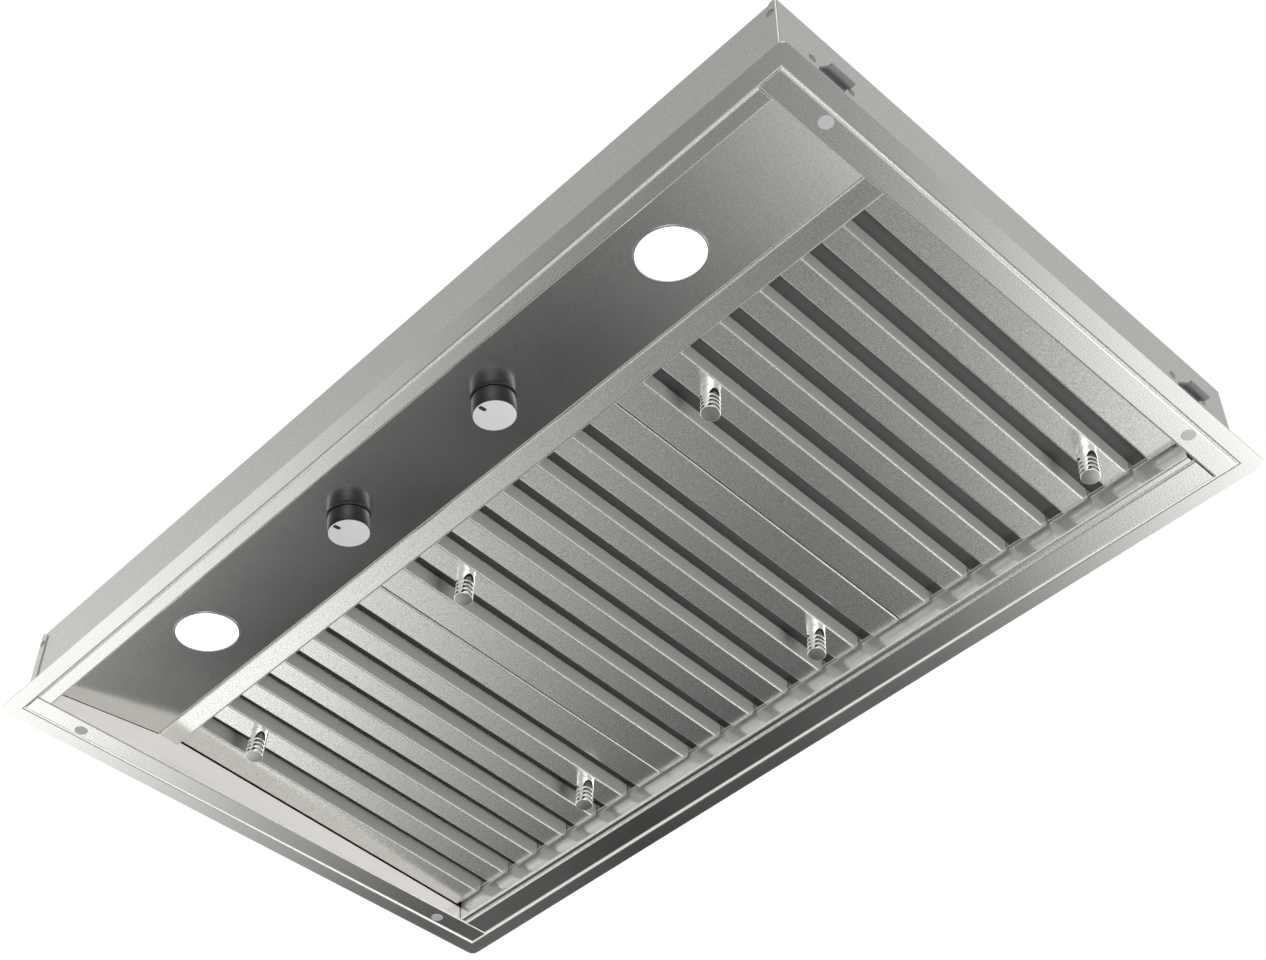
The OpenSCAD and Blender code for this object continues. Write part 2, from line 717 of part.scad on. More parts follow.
module clamp_dog(sx, sy) {
    color("#6b6d6e") clamp_places([sx], [sy]) translate([0, 0, lug_z]) difference() {
        union() {
            translate([-clamp_inset, 0, block_drop]) block(block_w, block_w, block_h);
            intersection() {
                along_y(lug_w)
                    polygon(folded([[-clamp_inset, lug_rise], [0, lug_rise], [lug_reach - lug_foot, 0],
                                    [lug_reach, 0]], lug_t, lug_fold_r));
                linear_extrude(lug_rise + lug_t)
                    polygon([[-clamp_inset, -block_w / 2], [-sheet, -lug_w / 2], [0, -lug_w / 2],
                             [lug_reach, lug_taper - lug_w / 2], [lug_reach, lug_w / 2 - lug_taper],
                             [0, lug_w / 2], [-sheet, lug_w / 2], [-clamp_inset, block_w / 2]]);
            }
        }
        translate([-clamp_inset, 0, 0])
            cylinder(h = 2 * block_h, r = screw_r + run_gap, $fn = 32);
    }
}

// The lamps' driver, hung under the top plate behind the panel
module led_driver() {
    color("#d7d8d4") translate([driver_x, driver_y, box_h - sheet - driver_h])
        linear_extrude(driver_h) polygon(rounded_rect(driver_w, driver_d, fold_r));
}

// The blower's housing, which stands on the top plate
module house_screw_places() {
    for (sx = [-1, 0, 1], sy = [-1, 1])
        translate([sx * (blower_w / 2 - house_lip), house_y + sy * (blower_d / 2 + house_lip / 2),
                   box_h])
            children();
}
module blower_housing() {
    color("#a3a5a4") difference() {
        union() {
            translate([0, house_y, box_h]) linear_extrude(house_t)
                polygon(rounded_rect(blower_w + 2 * house_lip, blower_d + 2 * house_lip,
                                     house_corner_r));
            translate([0, house_y, box_h]) linear_extrude(blower_h)
                polygon(rounded_rect(blower_w, blower_d, house_corner_r));
        }
        translate([0, house_y, box_h - overrun]) linear_extrude(blower_h + overrun - house_t)
            polygon(rounded_rect(blower_w - 2 * house_t, blower_d - 2 * house_t,
                                 house_corner_r - house_t));
        translate([0, outlet_y, house_z - house_t - overrun])
            block(scroll_w - 2 * house_t, outlet_y1 - outlet_y0 - 2 * house_t, house_t + 2 * overrun);
        house_screw_places() translate([0, 0, -overrun])
            cylinder(h = house_t + 2 * overrun, r = house_screw_r, $fn = 32);
    }
}
module housing_screws() {
    color("#8a8c8d") house_screw_places() {
        translate([0, 0, house_t]) cylinder(h = house_screw_head_h, r = house_screw_head_r, $fn = 32);
        translate([0, 0, -4 * sheet])
            cylinder(h = 4 * sheet + house_t, r = house_screw_r - run_gap, $fn = 32);
    }
}

// The scroll's outline: a spiral from the cut-off round to the outlet, then straight up
function scroll_points(inset) =
    concat([for (i = [0:scroll_steps])
               let(a = cutoff_angle + (360 - cutoff_angle) * i / scroll_steps,
                   r = scroll_start + (scroll_end - scroll_start) * i / scroll_steps - inset)
               [fan_y + r * cos(a), fan_z + r * sin(a)]],
           [[outlet_y1 - inset, house_z - house_t], [outlet_y0 + inset, house_z - house_t]]);
module blower_scroll() {
    color("#8f9192") difference() {
        union() {
            along_x(scroll_w) polygon(scroll_points(0));
            translate([0, fan_y, fan_z]) bar_x(inlet_r + inlet_lip, scroll_w + 2 * inlet_lip);
        }
        along_x(scroll_w - 2 * house_t) polygon(scroll_points(house_t));
        translate([0, outlet_y, house_z - 2 * house_t])
            block(scroll_w - 2 * house_t, outlet_y1 - outlet_y0 - 2 * house_t, 2 * house_t);
        translate([0, fan_y, fan_z]) bar_x(inlet_r, scroll_w + 4 * inlet_lip);
        translate([0, fan_y, fan_z]) bar_x(inlet_r + inlet_lip - house_t, scroll_w - 2 * house_t);
        for (s = [-1, 1])
            translate([s * (scroll_w / 2 + inlet_lip), fan_y, fan_z])
                bar_x(inlet_r + inlet_lip - house_t, 2 * inlet_lip - 2 * house_t);
    }
}
module fan_wheel() {
    color("#9c9e9f") translate([0, fan_y, fan_z]) rotate([0, 90, 0]) difference() {
        union() {
            cylinder(h = ring_t, r = wheel_r - blade_depth / 2, center = true, $fn = 96);
            cylinder(h = hub_w, r = hub_r, center = true, $fn = 48);
            for (s = [-1, 1])
                translate([0, 0, s * (wheel_w - ring_t) / 2]) difference() {
                    cylinder(h = ring_t, r = wheel_r, center = true, $fn = 96);
                    cylinder(h = 2 * ring_t, r = wheel_r - blade_depth - ring_t, center = true, $fn = 96);
                }
            for (i = [0:blade_count - 1])
                rotate([0, 0, 360 * i / blade_count]) translate([wheel_r - blade_depth, 0, 0])
                    rotate([0, 0, blade_lean])
                        translate([0, -blade_t / 2, (ring_t - wheel_w) / 2])
                            cube([blade_depth, blade_t, wheel_w - ring_t]);
        }
        cylinder(h = 2 * hub_w, r = rod_r + run_gap, center = true, $fn = 48);
    }
}
module fan_shaft_rod() {
    color("#c9cacb") translate([(bearing_l + motor_gap) / 2, fan_y, fan_z])
        bar_x(rod_r, hub_w + bearing_l + motor_gap);
}
module fan_motor() {
    length = scroll_w / 2 + inlet_lip - hub_w / 2 - motor_gap;
    color("#4a4c4f") translate([hub_w / 2 + motor_gap, fan_y, fan_z]) rotate([0, 90, 0]) difference() {
        union() {
            cylinder(h = 2 * motor_gap, r1 = motor_r / 2, r2 = motor_r, $fn = 64);
            translate([0, 0, 2 * motor_gap])
                cylinder(h = length - 3 * motor_gap, r = motor_r, $fn = 64);
            cylinder(h = length, r = motor_r / 2, $fn = 64);
        }
        translate([0, 0, -overrun]) cylinder(h = bearing_l + overrun, r = rod_r + run_gap, $fn = 48);
    }
}
module motor_bracket() {
    reach = inlet_r + arm_reach;
    color("#7d7f80") translate([scroll_w / 2 + inlet_lip, fan_y, fan_z]) rotate([0, 90, 0]) union() {
        cylinder(h = 2 * house_t, r = motor_r / 2 + house_t, $fn = 64);
        for (i = [0:2])
            rotate([0, 0, 120 * i]) translate([0, -arm_w / 2, 0]) {
                cube([reach, arm_w, 2 * house_t]);
                translate([reach - house_t, 0, -inlet_lip]) cube([2 * house_t, arm_w, inlet_lip]);
            }
    }
}

// The duct collar and its two damper flaps
module duct_collar() {
    color("#b0b2b1") translate([0, outlet_y, house_z]) difference() {
        union() {
            block(collar_base, collar_base, house_t);
            cylinder(h = collar_h, r = collar_r, $fn = 128);
        }
        translate([0, 0, stop_z - house_z])
            cylinder(h = collar_h, r = collar_r - collar_t, $fn = 128);
        translate([0, 0, -overrun]) cylinder(h = collar_h, r = collar_r - stop_w, $fn = 128);
        translate([0, 0, -overrun])
            cylinder(h = stop_z - stop_h - house_z + overrun, r = collar_r - collar_t, $fn = 128);
        translate([0, 0, rod_z - house_z]) bar_x(damper_rod_r + run_gap, 3 * collar_r);
    }
}
module damper_rod() {
    color("#8a8c8d") translate([0, outlet_y, rod_z]) bar_x(damper_rod_r, 2 * collar_r - 2 * run_gap);
}
module damper_flap(side) {
    flap_r = collar_r - collar_t - flap_gap;
    color("#c4c5c3") translate([0, outlet_y, rod_z]) difference() {
        union() {
            translate([0, 0, -flap_t / 2]) intersection() {
                cylinder(h = flap_t, r = flap_r, $fn = 128);
                scale([1, side, 1]) translate([-flap_r, knuckle_r / 2, 0])
                    cube([2 * flap_r, flap_r, flap_t]);
            }
            for (k = knuckle_shares)
                translate([side * (k[0] + k[1]) / 2 * flap_r, 0, 0])
                    bar_x(knuckle_r, (k[1] - k[0]) * flap_r);
        }
        bar_x(damper_rod_r + run_gap, 3 * flap_r);
        for (k = knuckle_shares)
            translate([-side * (k[0] + k[1]) / 2 * flap_r, 0, 0])
                bar_x(knuckle_r + sheet_gap, (k[1] - k[0]) * flap_r + 2 * sheet_gap);
    }
}

// The junction box for the house wiring
module junction_box() {
    color("#9b9d9c") translate([jbox_x, jbox_y, box_h]) difference() {
        linear_extrude(jbox_h) polygon(rounded_rect(jbox_w, jbox_d, fold_r + sheet));
        translate([0, 0, sheet])
            linear_extrude(jbox_h) polygon(rounded_rect(jbox_w - 2 * sheet, jbox_d - 2 * sheet, fold_r));
        translate([0, 0, -overrun]) cylinder(h = sheet + 2 * overrun, r = knockout_r, $fn = 48);
        translate([-jbox_w / 2 + sheet / 2, 0, jbox_h / 2]) bar_x(knockout_r, 3 * sheet);
    }
}
module junction_cover() {
    color("#a9abaa") translate([jbox_x, jbox_y, box_h + jbox_h]) {
        linear_extrude(sheet) polygon(rounded_rect(jbox_w, jbox_d, fold_r + sheet));
        for (s = [-1, 1])
            translate([s * jbox_screw_x, 0, sheet])
                cylinder(h = house_screw_head_h, r = house_screw_head_r, $fn = 32);
    }
}

front_wall();
rear_wall();
left_wall();
right_wall();
top_plate();
lap_rivets();
front_trim();
rear_trim();
left_trim();
right_trim();
rear_gutter();
control_panel();
filter_rail();
on_panel(-light_x) light_bezel();  // left_light_bezel
on_panel(-light_x) light_lens();  // left_light_lens
on_panel(-light_x) light_housing();  // left_light_housing
on_panel(light_x) light_bezel();  // right_light_bezel
on_panel(light_x) light_lens();  // right_light_lens
on_panel(light_x) light_housing();  // right_light_housing
on_panel(-knob_x) switch_body();  // fan_switch
on_panel(knob_x) switch_body();  // light_switch
on_panel(-knob_x) switch_shaft();  // fan_shaft
on_panel(knob_x) switch_shaft();  // light_shaft
on_panel(-knob_x) knob();  // fan_knob
on_panel(knob_x) knob();  // light_knob
for (s = [-1, 1]) on_panel(s * knob_x) knob_ring();  // knob_rings
in_filter(-1) filter_frame();  // left_filter_frame
in_filter(-1) lower_baffles();  // left_filter_lower_baffles
in_filter(-1) upper_baffles();  // left_filter_upper_baffles
in_filter(-1) handles();  // left_filter_handles
in_filter(0) filter_frame();  // middle_filter_frame
in_filter(0) lower_baffles();  // middle_filter_lower_baffles
in_filter(0) upper_baffles();  // middle_filter_upper_baffles
in_filter(0) handles();  // middle_filter_handles
in_filter(1) filter_frame();  // right_filter_frame
in_filter(1) lower_baffles();  // right_filter_lower_baffles
in_filter(1) upper_baffles();  // right_filter_upper_baffles
in_filter(1) handles();  // right_filter_handles
clamp_brackets();
clamp_rivets();
clamp_screws();
screw_caps();
clamp_dog(-1, -1);  // front_left_clamp
clamp_dog(1, -1);  // front_right_clamp
clamp_dog(-1, 1);  // rear_left_clamp
clamp_dog(1, 1);  // rear_right_clamp
led_driver();
blower_housing();
blower_scroll();
fan_motor();
motor_bracket();
fan_shaft_rod();
fan_wheel();
housing_screws();
duct_collar();
damper_rod();
damper_flap(-1);  // front_damper_flap
damper_flap(1);  // rear_damper_flap
junction_box();
junction_cover();
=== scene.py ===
"""Range hood insert, seen from below at its front right corner, in satin stainless steel."""
import json
import math

import bpy
import numpy as np
from mathutils import Matrix, Vector


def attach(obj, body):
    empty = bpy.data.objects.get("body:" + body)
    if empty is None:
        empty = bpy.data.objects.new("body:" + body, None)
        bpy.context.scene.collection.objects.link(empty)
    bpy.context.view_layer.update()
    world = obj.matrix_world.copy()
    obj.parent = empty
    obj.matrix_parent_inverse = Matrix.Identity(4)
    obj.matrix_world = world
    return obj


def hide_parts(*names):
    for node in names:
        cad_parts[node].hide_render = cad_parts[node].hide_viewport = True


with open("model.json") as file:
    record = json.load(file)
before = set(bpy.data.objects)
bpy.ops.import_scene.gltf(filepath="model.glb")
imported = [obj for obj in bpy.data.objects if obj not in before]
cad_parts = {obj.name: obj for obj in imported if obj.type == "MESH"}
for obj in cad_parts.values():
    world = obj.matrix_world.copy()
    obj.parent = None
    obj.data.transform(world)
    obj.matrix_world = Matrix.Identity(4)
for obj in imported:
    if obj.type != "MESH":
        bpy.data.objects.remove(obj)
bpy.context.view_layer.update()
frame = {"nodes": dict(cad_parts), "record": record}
nodes = frame["nodes"]
scene = bpy.context.scene
scene.view_settings.view_transform = "Standard"

# Places and sizes of the hood, in metres
FILTER_SIDES = ("left", "middle", "right")
RAIL_Y, GUTTER_Y = -0.1105, 0.213
SEAT_FRONT_Z, SEAT_REAR_Z = 0.0294, 0.0133
FRONT_LAP, REAR_CLEARANCE = 0.009, 0.0015
FILTER_PITCH = 0.2741667
POST_X, POST_FRONT, POST_REAR = 0.0791867, 0.052, 0.0405
PANEL_Y, PANEL_Z = -0.2318, 0.0132
PANEL_RISE, PANEL_DEPTH = 0.0131, 0.1009
PANEL_REAR_Y = -0.131
ITEM_Y, KNOB_X, LIGHT_X = 0.0502, 0.0845, 0.2693
TRIM_X, TRIM_Y = 0.42, 0.24

filter_run, filter_drop = GUTTER_Y - RAIL_Y, SEAT_FRONT_Z - SEAT_REAR_Z
filter_tilt = math.atan2(filter_drop, filter_run)
filter_length = math.hypot(filter_drop, filter_run) + FRONT_LAP - REAR_CLEARANCE
panel_tilt = math.atan2(PANEL_RISE, PANEL_DEPTH)


def tilted(angle):
    """The three axes of a sheet that is turned about X: across it, along it, and square to it."""
    c, s = math.cos(angle), math.sin(angle)
    return (1, 0, 0), (0, c, s), (0, -s, c)


filter_basis = tilted(-filter_tilt)
panel_basis = tilted(panel_tilt)


# Materials
WHOLE = (0.0, 1.0)


class Tree:
    """A node tree under construction. A value is a socket, or a plain number or tuple."""

    def __init__(self, tree):
        self.tree = tree
        self.tree.nodes.clear()

    def node(self, kind, **settings):
        """A new node with its settings."""
        made = self.tree.nodes.new("ShaderNode" + kind)
        for key, value in settings.items():
            setattr(made, key, value)
        return made

    def feed(self, value, target):
        """Links a socket to the target, or sets the target to a plain value."""
        if isinstance(value, bpy.types.NodeSocket):
            self.tree.links.new(value, target)
        else:
            target.default_value = value

    def math(self, operation, *values):
        """A sum, product or other operation on values."""
        made = self.node("Math", operation=operation)
        for value, target in zip(values, made.inputs):
            self.feed(value, target)
        return made.outputs[0]


class Finish(Tree):
    """A material under construction."""

    def __init__(self, name):
        self.material = bpy.data.materials.new(name)
        self.material.use_nodes = True
        super().__init__(self.material.node_tree)
        self.output = self.node("OutputMaterial")

    def surface(self, **values):
        """A Principled shader whose constants are set on its own sockets."""
        shader = self.node("BsdfPrincipled")
        for key, value in values.items():
            shader.inputs[key.replace("_", " ")].default_value = value
        self.feed(shader.outputs["BSDF"], self.output.inputs["Surface"])
        return shader

    def place(self, scale=(1, 1, 1)):
        """Object coordinates through a Mapping node with the given scale."""
        mapping = self.node("Mapping")
        mapping.inputs["Scale"].default_value = scale
        self.feed(self.node("TexCoord").outputs["Object"], mapping.inputs["Vector"])
        return mapping.outputs["Vector"]

    def normal(self):
        """The way the face looks."""
        return self.node("NewGeometry").outputs["Normal"]

    def split(self, vector):
        """The three parts of a vector."""
        made = self.node("SeparateXYZ")
        self.feed(vector, made.inputs["Vector"])
        return made.outputs

    def dot(self, first, second):
        """The dot product of two vectors."""
        made = self.node("VectorMath", operation="DOT_PRODUCT")
        self.feed(first, made.inputs[0])
        self.feed(second, made.inputs[1])
        return made.outputs["Value"]

    def noise(self, vector, scale, detail=2.0, rough=0.5):
        """Smooth noise between 0 and 1."""
        made = self.node("TexNoise")
        made.inputs["Scale"].default_value = scale
        made.inputs["Detail"].default_value = detail
        made.inputs["Roughness"].default_value = rough
        self.feed(vector, made.inputs["Vector"])
        return made.outputs["Fac"]

    def cells(self, scale):
        """Irregular cells on Object coordinates: their colours and the distance from their middles."""
        made = self.node("TexVoronoi", feature="F1")
        made.inputs["Scale"].default_value = scale
        self.feed(self.place(), made.inputs["Vector"])
        return made.outputs["Color"], made.outputs["Distance"]

    def remap(self, value, low, high, start=0.3, end=0.7):
        """A value from start to end, spread from low to high and held there beyond."""
        made = self.node("MapRange")
        made.inputs["From Min"].default_value = start
        made.inputs["From Max"].default_value = end
        self.feed(low, made.inputs["To Min"])
        self.feed(high, made.inputs["To Max"])
        self.feed(value, made.inputs["Value"])
        return made.outputs["Result"]

    def colour(self, value, dark, light, start=0.3, end=0.7):
        """A value from start to end as a colour from dark to light."""
        ramp = self.node("ValToRGB")
        for element, position, tone in zip(ramp.color_ramp.elements, (start, end), (dark, light)):
            element.position = position
            element.color = (*tone, 1)
        self.feed(value, ramp.inputs["Fac"])
        return ramp.outputs["Color"]

    def mix(self, share, tone, over):
        """A tone with a share of another colour laid over it."""
        made = self.node("MixRGB")
        self.feed(share, made.inputs["Fac"])
        self.feed(tone, made.inputs["Color1"])
        self.feed(over, made.inputs["Color2"])
        return made.outputs["Color"]

    def bump(self, value, strength, distance):
        """A normal bent by the slope of a value."""
        made = self.node("Bump")
        made.inputs["Strength"].default_value = strength
        made.inputs["Distance"].default_value = distance
        self.feed(value, made.inputs["Height"])
        return made.outputs["Normal"]


def grey(level, warm=0.0):
    """A grey that is a little olive where warm is above 0, and a little blue below it."""
    return (level, level * (1 + warm), level * (1 - 4 * warm))


# Masks of the finishes, for their painted shade, painted highlights and painted light, whose lengths are in
# metres
MASK_MARGIN, FILTER_EDGE, GROOVE_EDGE_Z = 0.0005, 0.0013, 0.0014
# How nearly the X and Y parts of a normal must match for the box corners' painted highlight
CORNER_BEND = 0.42


def compare(f, value, level):
    """One where the value is above the level."""
    return f.math("GREATER_THAN", value, level)


def beyond(f, direction, level):
    """One where a point's distance along the direction passes the level."""
    return compare(f, f.dot(f.place(), direction), level)


def above_sheet(f, basis, y, z):
    """One above a tilted sheet that runs through the line at y and z."""
    square = basis[2]
    return beyond(f, square, square[1] * y + square[2] * z - MASK_MARGIN)


def above_filters(f):
    """One in the recess: above the filters behind the rail, and above the panel in front of it, where the
    trim's legs take painted shade.
    """
    filters = f.math("MULTIPLY", above_sheet(f, filter_basis, RAIL_Y, SEAT_FRONT_Z),
                     beyond(f, (0, 1, 0), RAIL_Y))
    panel = f.math("MULTIPLY", above_sheet(f, panel_basis, PANEL_Y, PANEL_Z),
                   beyond(f, (0, -1, 0), -PANEL_REAR_Y))
    return f.math("MAXIMUM", filters, panel)


def between_filters(f):
    """One close to the side edges of each filter, counted by the filters' pitch, where the baffles' sides
    take painted shade.
    """
    x = f.split(f.place())[0]
    from_left = f.math("ADD", x, len(FILTER_SIDES) / 2 * FILTER_PITCH)
    in_filter = f.math("MODULO", from_left, FILTER_PITCH)
    from_middle = f.math("ABSOLUTE", f.math("SUBTRACT", in_filter, FILTER_PITCH / 2))
    return compare(f, from_middle, FILTER_PITCH / 2 - FILTER_EDGE)


def groove_edge(f, sign, level):
    """One on the lower edge of upright faces that look away from the middle, or with sign -1 toward it, where
    a painted highlight goes.

    The normal times the place, over the half size of the trim, passes the level there, and the height is low.
    """
    looks_out = compare(f, f.dot(f.place((sign / TRIM_X, sign / TRIM_Y, 0)), f.normal()), level)
    return f.math("MULTIPLY", looks_out, beyond(f, (0, 0, -1), -GROOVE_EDGE_Z))


def box_corner(f):
    """One on the upright bends of the box, where the X and Y parts of the normal are nearly equal; it takes a
    painted highlight.
    """
    parts = f.split(f.normal())
    return compare(f, f.math("ABSOLUTE", f.math("MULTIPLY", parts[0], parts[1])), CORNER_BEND)


def facing(f, axes):
    """How squarely a face looks along one of the axes: the largest of those parts of its normal."""
    parts = f.split(f.normal())
    size = 0.0
    for axis in axes:
        size = f.math("MAXIMUM", size, f.math("ABSOLUTE", parts[axis]))
    return size


# Satin steel: the scales of its noises, and the tones and levels that its sheets share
FINE_SCALE, SPECKLE_SCALE, CLOUD_SCALE = 620, 1000, 5.5
SPECKLE_SHARE = 0.6
GRAIN_SPREAD = (0.36, 0.64)
# Faces that look along an axis take a paler, duller copy of the steel, as painted light
SIDE_SPREAD = (0.75, 0.97)
SIDE_LIFT = 1.08
# Painted shade: the near black of a narrow gap
PAINTED_GAP_SHADE = (0.012, 0.012, 0.012, 1)
# Painted highlight on groove edges and the box's corners: its tone and metal share
PAINTED_HIGHLIGHT_TONE, PAINTED_HIGHLIGHT_METAL = (0.95, 0.95, 0.93, 1), 0.3
ROUGH_SPREAD = 0.03


def satin_steel(name, shade, rough=0.2, along=(1, 3, 3), warm=0.011, grain=0.1, sides=None, axes=(0,),
                painted_shade_at=None, groove_highlight=None, corners=False):
    """Stainless sheet: a fine grain in its tone, roughness and bump.

    sides holds the metal share and the tone of faces that look along the axes: a duller, paler copy of the
    steel, painted light. The painted shade argument makes the mask of a narrow gap, where such a face takes a
    near black painted shade. The groove highlight argument gives the lower edges of upright faces a painted
    highlight, by the sign and level of groove_edge. corners does so for the box's corners.
    """
    f = Finish(name)
    shader = f.surface()
    fine = f.noise(f.place(along), FINE_SCALE, rough=0.6)
    speckle = f.noise(f.place(), SPECKLE_SCALE, detail=1.0)
    cloud = f.noise(f.place(), CLOUD_SCALE)
    grains = f.math("MULTIPLY_ADD", speckle, SPECKLE_SHARE, f.math("MULTIPLY", fine, 1 - SPECKLE_SHARE))
    dark, light = (grey(shade * (1 + turn * grain), warm) for turn in (-1, 1))
    tone = f.colour(grains, dark, light, *GRAIN_SPREAD)
    metal = 1.0
    # Faces along the axes take a paler, duller copy of the steel, as painted light
    if sides:
        painted_light_metal, painted_light_tone = sides
        side = f.remap(facing(f, axes), 0.0, 1.0, *SIDE_SPREAD)
        lifted = tuple(SIDE_LIFT * c for c in painted_light_tone)
        tone = f.mix(side, tone, f.colour(grains, painted_light_tone, lifted, *GRAIN_SPREAD))
        metal = f.remap(side, 1.0, painted_light_metal, *WHOLE)
        # Such a face in a narrow gap takes a near black painted shade
        if painted_shade_at:
            tone = f.mix(f.math("MULTIPLY", side, painted_shade_at(f)), tone, PAINTED_GAP_SHADE)
    # Groove edges and the box's corners take a painted highlight
    masks = []
    if groove_highlight:
        masks.append(groove_edge(f, *groove_highlight))
    if corners:
        masks.append(box_corner(f))
    for mask in masks:
        tone = f.mix(mask, tone, PAINTED_HIGHLIGHT_TONE)
        metal = f.math("MINIMUM", metal, f.remap(mask, 1.0, PAINTED_HIGHLIGHT_METAL, *WHOLE))
    f.feed(tone, shader.inputs["Base Color"])
    f.feed(metal, shader.inputs["Metallic"])
    wear = f.math("MULTIPLY_ADD", fine, 0.5, cloud)
    f.feed(f.remap(wear, rough - ROUGH_SPREAD, rough + ROUGH_SPREAD, 0.5, 1.0), shader.inputs["Roughness"])
    f.feed(f.bump(grains, strength=0.06, distance=0.0002), shader.inputs["Normal"])
    return f.material


def zinc_sheet(name, shade):
    """Galvanised sheet: crystals of slightly different grey and gloss."""
    f = Finish(name)
    shader = f.surface(Metallic=1.0)
    crystals = f.node("SeparateColor")
    f.feed(f.cells(scale=75)[0], crystals.inputs["Color"])
    dark, light = grey(shade * 0.84, warm=-0.01), grey(shade * 1.12, warm=-0.01)
    f.feed(f.colour(crystals.outputs[0], dark, light, *WHOLE), shader.inputs["Base Color"])
    f.feed(f.remap(crystals.outputs[1], 0.3, 0.46, *WHOLE), shader.inputs["Roughness"])
    f.feed(f.bump(f.noise(f.place(), scale=300), strength=0.05, distance=0.0003), shader.inputs["Normal"])
    return f.material


def polished(name, shade, rough):
    """Plated metal with faint polishing marks."""
    f = Finish(name)
    shader = f.surface(Metallic=1.0)
    marks = f.noise(f.place((1, 1, 9)), scale=500)
    f.feed(f.colour(marks, grey(shade * 0.97), grey(shade)), shader.inputs["Base Color"])
    f.feed(f.remap(marks, rough * 0.6, rough * 1.5), shader.inputs["Roughness"])
    f.feed(f.bump(marks, strength=0.02, distance=0.0001), shader.inputs["Normal"])
    return f.material


def moulded(name, colour, rough=0.45):
    """Moulded plastic, or paint, with a light orange-peel surface."""
    f = Finish(name)
    shader = f.surface()
    skin = f.noise(f.place(), scale=900)
    cloud = f.noise(f.place(), scale=30)
    f.feed(f.colour(cloud, tuple(c * 0.95 for c in colour), colour), shader.inputs["Base Color"])
    f.feed(f.remap(skin, rough - 0.06, rough + 0.06), shader.inputs["Roughness"])
    f.feed(f.bump(skin, strength=0.08, distance=0.0002), shader.inputs["Normal"])
    return f.material


def lit_lens(name):
    """A frosted lens that glows evenly, with a faint prism pattern."""
    f = Finish(name)
    shader = f.surface(Roughness=0.4, Emission_Strength=1.1)
    prisms = f.cells(scale=320)[1]
    f.feed(f.colour(prisms, (0.93, 0.93, 0.91), (0.98, 0.98, 0.97), *WHOLE), shader.inputs["Base Color"])
    f.feed(f.colour(prisms, (0.96, 0.97, 1.0), (1.0, 1.0, 1.0), *WHOLE), shader.inputs["Emission Color"])
    f.feed(f.bump(prisms, strength=0.05, distance=0.0002), shader.inputs["Normal"])
    return f.material


# The finishes of the frame's slots, then those of single nodes and faces
SHEET = 0.66
# Metal share and tone of the paler copy of the steel on faces along an axis, which is painted light
LEG_SIDE_PAINTED_LIGHT = (0.25, (0.8, 0.765, 0.75))
SLOT_SIDE_PAINTED_LIGHT = (0.35, (0.5, 0.5, 0.48))
GUTTER_SIDE_PAINTED_LIGHT = (0.6, (0.85, 0.85, 0.83))
# Where groove edges take the painted highlight: the sign and level for groove_edge
OUTER_GROOVE_HIGHLIGHT, WALL_GROOVE_HIGHLIGHT = (1, 0.85), (-1, 0.5)
BOTH_WAYS = (0, 1)
EVEN = (4, 4, 4)
finishes = {
    "body_sheet": satin_steel("body_sheet", SHEET, 0.22, grain=0.12, groove_highlight=WALL_GROOVE_HIGHLIGHT, corners=True),
    "trim_sheet": satin_steel("trim_sheet", SHEET, grain=0.2, sides=LEG_SIDE_PAINTED_LIGHT, axes=BOTH_WAYS,
                              painted_shade_at=above_filters, groove_highlight=OUTER_GROOVE_HIGHLIGHT),
    "panel_sheet": satin_steel("panel_sheet", 0.6, 0.19, grain=0.13),
    "baffle_sheet": satin_steel("baffle_sheet", SHEET, along=(3, 1, 3), grain=0.26, sides=SLOT_SIDE_PAINTED_LIGHT,
                                painted_shade_at=between_filters),
    "galvanised": zinc_sheet("galvanised", 0.6),
    "handle_chrome": polished("handle_chrome", 0.95, 0.1),
    "bezel_metal": satin_steel("bezel_metal", 0.4, 0.16, (6, 6, 6), grain=0.05),
    "light_lens": lit_lens("light_lens"),
    "lamp_can": satin_steel("lamp_can", 0.42, 0.45, EVEN),
    "switch_plastic": moulded("switch_plastic", (0.02, 0.02, 0.022)),
    "knob_metal": polished("knob_metal", 0.06, 0.25),
    "clamp_steel": moulded("clamp_steel", (0.2, 0.202, 0.205), 0.5),
    "cap_plastic": moulded("cap_plastic", (0.36, 0.36, 0.36)),
    "rivet_metal": satin_steel("rivet_metal", 0.32, 0.35, EVEN),
    "plain_steel": satin_steel("plain_steel", 0.5, 0.3, EVEN),
    "driver_case": moulded("driver_case", (0.62, 0.62, 0.58)),
    "motor_paint": moulded("motor_paint", (0.035, 0.037, 0.042), 0.35),
    "fan_metal": zinc_sheet("fan_metal", 0.62),
}
front_sheet = satin_steel("front_sheet", SHEET, grain=0.2, sides=LEG_SIDE_PAINTED_LIGHT, axes=BOTH_WAYS,
                          groove_highlight=OUTER_GROOVE_HIGHLIGHT)
rear_sheet = satin_steel("rear_sheet", SHEET, grain=0.25, sides=GUTTER_SIDE_PAINTED_LIGHT, axes=(1,))
# The upper baffles in a near black matt tone, as painted shade
painted_shade_upper_sheet = moulded("painted_shade_upper_sheet", (0.1, 0.101, 0.098), 0.4)
knob_face = moulded("knob_face", (0.52, 0.52, 0.525), 0.5)
# The posts' end faces take a darker satin copy of the chrome, as painted shade
painted_shade_handle_end = satin_steel("painted_shade_handle_end", 0.38, 0.3, (5, 5, 5))
pointer_black = moulded("pointer_black", (0.008, 0.008, 0.008), 0.5)

own_finish = {"front_trim": front_sheet, "rear_trim": rear_sheet, "rear_gutter": rear_sheet,
              "knob_rings": finishes["knob_metal"]}
